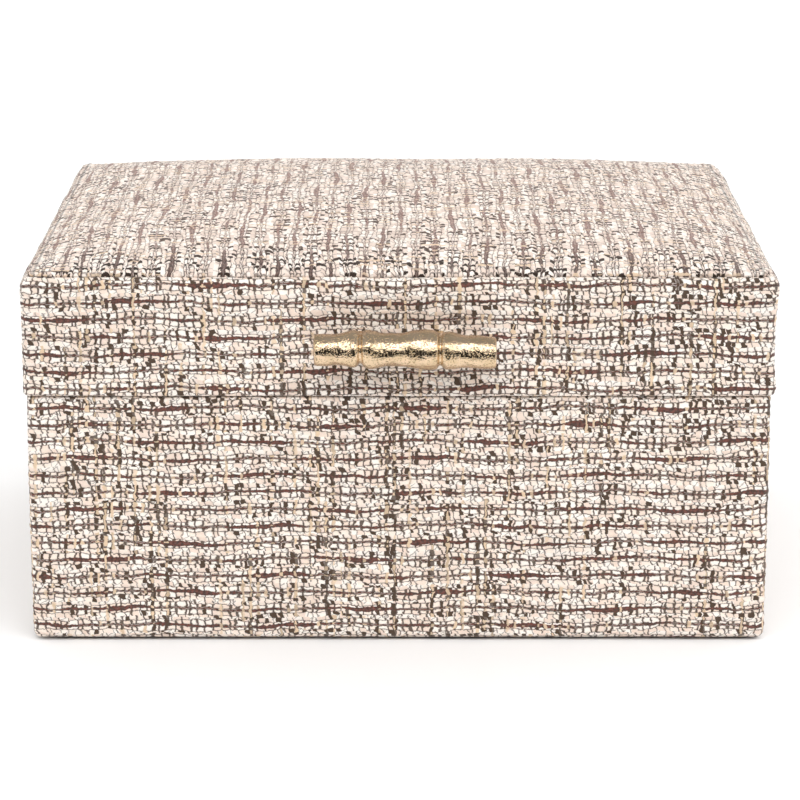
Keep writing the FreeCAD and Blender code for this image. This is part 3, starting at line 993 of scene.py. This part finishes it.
def makeCushions(material):
    floor = paddedPiece("floorCushion", floorCushion, material, softLift)
    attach(floor, "base")
    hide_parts("base_floor_pad")
    ceiling = paddedPiece("ceilingCushion", ceilingCushion, material, softLift, facing=-1)
    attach(ceiling, "lid")
    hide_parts("lid_lining_top")


lining = {
    "bevel": 0.0005,  # m, as the two below
    "border": 0.0022,
    "puff": 0.00025,
    "sharp": 60,  # degrees from which an edge is bevelled
    "smooth": 40,
    "sides": {"front": (0, 1, 0), "back": (0, -1, 0), "left": (1, 0, 0), "right": (-1, 0, 0)},
}


def blockFromNode(node, name):
    low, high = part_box(node)
    deselectAll()
    bpy.ops.mesh.primitive_cube_add(size=1, location=(low + high) / 2)
    piece = bpy.context.object
    piece.name = name
    piece.data.name = name
    piece.scale = high - low
    bpy.ops.object.transform_apply(location=True, rotation=True, scale=True)
    return piece


def selectFaces(piece, chosen):
    # leaves the piece in edit mode with the faces selected that pass the test
    bpy.ops.object.mode_set(mode="OBJECT")
    for face in piece.data.polygons:
        face.select = chosen(face)
    bpy.ops.object.mode_set(mode="EDIT")


def makeLining(body, side, material):
    piece = blockFromNode(body + "_lining_" + side, body + "Lining" + side.capitalize())
    normal = Vector(lining["sides"][side])
    bpy.ops.object.mode_set(mode="EDIT")
    bpy.ops.mesh.select_mode(type="FACE")
    selectFaces(piece, lambda face: face.normal.dot(normal) > 0.9)
    bpy.ops.mesh.inset(thickness=lining["border"], depth=lining["puff"])
    bpy.ops.mesh.inset(thickness=lining["border"] * 2, depth=lining["puff"] / 2)
    bpy.ops.object.mode_set(mode="OBJECT")
    bevel = piece.modifiers.new("edges", "BEVEL")
    bevel.width = lining["bevel"]
    bevel.segments = 4
    bevel.limit_method = "ANGLE"
    bevel.angle_limit = math.radians(lining["sharp"])
    bpy.ops.object.modifier_apply(modifier="edges")
    bpy.ops.object.shade_smooth_by_angle(angle=math.radians(lining["smooth"]))
    piece.data.materials.append(material)
    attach(piece, body)
    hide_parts(body + "_lining_" + side)


felt = {
    "round": 0.002,  # m, as the edge's bevel
    "edge": 0.00015,
    "colour": (40, 38, 36),
    "fibre": (74, 70, 66),
}


def makeFelt():
    finish = {"Roughness": 1.0, "Sheen Weight": 0.2, "Specular IOR Level": 0.1}
    material, flow, shader = newMaterial("darkFelt", finish)
    fuzz = noise(flow, objectPlace(flow), 1400.0, 5.0, Distortion=1.5)
    tone = blendColour(step(fuzz, 0.45, 0.75), rgb(*felt["colour"]), rgb(*felt["fibre"]))
    feed(shader, Base_Color=tone, Normal=bumpFrom(flow, fuzz, 0.7, 0.0003))
    piece = blockFromNode("base_bottom_cover", "bottomFelt")
    bpy.ops.object.mode_set(mode="EDIT")
    bpy.ops.mesh.select_mode(type="EDGE")
    bpy.ops.mesh.select_all(action="DESELECT")
    bpy.ops.object.mode_set(mode="OBJECT")
    for edge in piece.data.edges:  # the four upright ones
        first, second = [piece.data.vertices[k].co.z for k in edge.vertices]
        edge.select = abs(first - second) > felt["edge"]
    bpy.ops.object.mode_set(mode="EDIT")
    bpy.ops.mesh.bevel(offset=felt["round"], segments=6, affect="EDGES")
    bpy.ops.object.mode_set(mode="OBJECT")
    bevel = piece.modifiers.new("edges", "BEVEL")
    bevel.width = felt["edge"]
    bevel.segments = 2
    bevel.limit_method = "ANGLE"
    bpy.ops.object.modifier_apply(modifier="edges")
    piece.data.materials.append(material)
    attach(piece, "base")
    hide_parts("base_bottom_cover")


pull = {
    "axis": (-114.0, 107.0),  # y and z, mm
    "stations": [  # x and radius along the cane, mm
        (-28.0, 4.75), (-27.75, 5.15), (-27.2, 5.35), (-24.5, 5.4), (-21.4, 5.5), (-18.6, 5.75),
        (-16.6, 6.12), (-15.2, 6.3), (-14.2, 6.15), (-13.6, 5.75), (-13.2, 5.0), (-12.75, 4.75),
        (-12.3, 5.0), (-11.9, 5.75), (-10.9, 6.25), (-9.6, 6.5), (-8.2, 6.3), (-6.2, 5.9),
        (-3.8, 5.68), (-1.0, 5.72), (1.8, 5.7), (4.4, 5.88), (6.8, 6.2), (8.8, 6.5),
        (10.6, 6.6), (12.0, 6.45), (12.8, 6.1), (13.3, 5.45), (13.75, 4.95), (14.2, 5.3),
        (14.7, 5.9), (15.6, 6.35), (16.9, 6.5), (18.6, 6.2), (20.9, 5.8), (23.6, 5.6),
        (26.6, 5.48), (29.6, 5.42), (31.6, 5.38), (32.2, 5.2), (32.5, 4.8),
    ],
    "droopFrom": 8.0,
    "droop": 0.045,  # mm down for each mm along, past that place
    "sides": 56,
    "posts": (-12.5, 13.7),
    "post": [  # y and radius, mm
        (-101.35, 3.7), (-101.9, 3.5), (-102.9, 3.05), (-106.0, 2.95), (-108.6, 3.2),
        (-110.2, 4.0), (-111.5, 4.4),
    ],
    "postSides": 40,
    "voxel": 0.24,
    "dents": [  # name, size in m, how many finer layers, and depth in m
        ("swell", 0.0062, 0, 0.0008),
        ("dents", 0.0026, 1, 0.0002),
        ("grain", 0.0011, 2, 0.00005),
    ],
}


def spindle(sides, turned, rings):
    # a round solid: a disc that is extruded and resized along its axis, ring by ring; lengths in mm
    place, radius = Vector(rings[0][0]), rings[0][1]
    deselectAll()
    bpy.ops.mesh.primitive_circle_add(
        vertices=sides, radius=radius * mm, fill_type="NGON", location=place * mm, rotation=turned
    )
    piece = bpy.context.object
    bpy.ops.object.mode_set(mode="EDIT")
    bpy.ops.mesh.select_mode(type="FACE")
    bpy.ops.mesh.select_all(action="SELECT")
    for nextPlace, nextRadius in rings[1:]:
        move = (Vector(nextPlace) - place) * mm
        bpy.ops.mesh.extrude_region_move(TRANSFORM_OT_translate={"value": move})
        share = [nextRadius / radius] * 3
        bpy.ops.transform.resize(value=share, center_override=Vector(nextPlace) * mm)
        place, radius = Vector(nextPlace), nextRadius
    bpy.ops.mesh.select_all(action="SELECT")
    bpy.ops.mesh.normals_make_consistent(inside=False)
    bpy.ops.object.mode_set(mode="OBJECT")
    bpy.ops.object.transform_apply(location=True, rotation=True, scale=True)
    return piece


def cloudTexture(name, size, depth):
    texture = bpy.data.textures.new(name, "CLOUDS")
    texture.noise_scale = size
    texture.noise_depth = depth
    return texture


def makePull():
    y, z = pull["axis"]
    rings = []
    for x, radius in pull["stations"]:
        rings.append(((x, y, z - max(x - pull["droopFrom"], 0) * pull["droop"]), radius))
    bar = spindle(pull["sides"], (0, math.pi / 2, 0), rings)
    parts = [bar]
    for x in pull["posts"]:
        rings = [((x, along, z), radius) for along, radius in pull["post"]]
        parts.append(spindle(pull["postSides"], (math.pi / 2, 0, 0), rings))
    deselectAll()
    for part in parts:
        part.select_set(True)
    bpy.context.view_layer.objects.active = bar
    bpy.ops.object.join()
    bar.name = "bambooPull"
    bar.data.name = "bambooPull"
    remesh = bar.modifiers.new("oneSkin", "REMESH")
    remesh.mode = "VOXEL"
    remesh.voxel_size = pull["voxel"] * mm
    remesh.use_smooth_shade = True
    bpy.ops.object.modifier_apply(modifier="oneSkin")
    soften = bar.modifiers.new("soften", "SMOOTH")
    soften.factor = 0.5
    soften.iterations = 2
    bpy.ops.object.modifier_apply(modifier="soften")
    for name, size, depth, strength in pull["dents"]:
        dents = bar.modifiers.new(name, "DISPLACE")
        dents.texture = cloudTexture(name, size, depth)
        dents.texture_coords = "LOCAL"
        dents.strength = strength
        dents.mid_level = 0.5
        bpy.ops.object.modifier_apply(modifier=name)
    bar.data.materials.clear()
    bar.data.materials.append(castBrass())
    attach(bar, "lid")
    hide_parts("pull_bar")


def castBrass():
    material, flow, shader = newMaterial("castBrass", {"Metallic": 1.0})
    place = objectPlace(flow)
    streaks = noise(flow, stretched(flow, place, (900, 120, 120)), 1.0, 1.0, Roughness=0.6)
    pits = noise(flow, place, 1600.0, 2.0)
    cloud = noise(flow, place, 210.0, 2.0)
    pitted = 1 - step(pits, 0.30, 0.42)
    tone = blendColour(step(cloud, 0.35, 0.65), (0.74, 0.56, 0.36, 1), (0.83, 0.64, 0.44, 1))
    tone = blendColour(pitted * 0.8, tone, (0.36, 0.25, 0.11, 1))
    bump = bumpFrom(flow, streaks * 1.6 + pits * 0.65 - pitted * 0.4, 0.55, 0.0004)
    feed(shader, Base_Color=tone, Roughness=0.07 + 0.12 * cloud * pits + 0.25 * pitted, Normal=bump)
    return material


def metalMaterial(name, pale, deep, roughness, scale):
    material, flow, shader = newMaterial(name, {"Metallic": 1.0})
    place = objectPlace(flow)
    brushed = noise(flow, stretched(flow, place, scale), 1.0, 4.0)
    stain = noise(flow, place, 320.0, 3.0)
    tone = blendColour(step(stain, 0.35, 0.7), deep, pale)
    bump = bumpFrom(flow, brushed, 0.15, 0.0001)
    feed(shader, Base_Color=tone, Roughness=roughness + 0.18 * brushed, Normal=bump)
    return material


def boardMaterial(name, pale, deep):
    material, flow, shader = newMaterial(name, {"Roughness": 0.85, "Specular IOR Level": 0.3})
    place = objectPlace(flow)
    chips = noise(flow, place, 900.0, 5.0, Distortion=0.8)
    tone = blendColour(step(chips, 0.35, 0.7), rgb(*deep), rgb(*pale))
    tone = blendColour(noise(flow, place, 45.0, 2.0) * 0.4, tone, rgb(*pale))
    feed(shader, Base_Color=tone, Normal=bumpFrom(flow, chips, 0.4, 0.0002))
    return material


boards = {  # name, pale tone and deep tone
    "board": ("fibreboard", (176, 148, 116), (146, 118, 88)),
    "card": ("greyCard", (196, 186, 170), (170, 160, 146)),
}
metals = {  # name, pale and deep tone in linear light, roughness, and how its brushing is drawn out
    "brass": ("hingeBrass", (0.80, 0.61, 0.33, 1), (0.66, 0.48, 0.24, 1), 0.22, (2600, 260, 2600)),
    "steel": ("zincSteel", (0.68, 0.68, 0.67, 1), (0.55, 0.55, 0.56, 1), 0.28, (900, 900, 900)),
}


def dressNodes():
    # CAD nodes whose shape stays get a finish by their slot
    finishes = {slot: boardMaterial(*look) for slot, look in boards.items()}
    finishes.update({slot: metalMaterial(*look) for slot, look in metals.items()})
    for part in frame["record"]["subparts"]:
        if part["material_slot"] in finishes:
            slots = frame["nodes"][part["node"]].data.materials
            slots.clear()
            slots.append(finishes[part["material_slot"]])


makeBaseTweed()
makeLidTweed()
makeLidTop()
print("tweed ready")
suedeCloth = suedeMaterial()
makeCushions(suedeCloth)
for wall in lining["sides"]:
    makeLining("base", wall, suedeCloth)
    makeLining("lid", wall, suedeCloth)
makeFelt()
print("linings and felt ready")
makePull()
dressNodes()
print("pull and fittings ready")
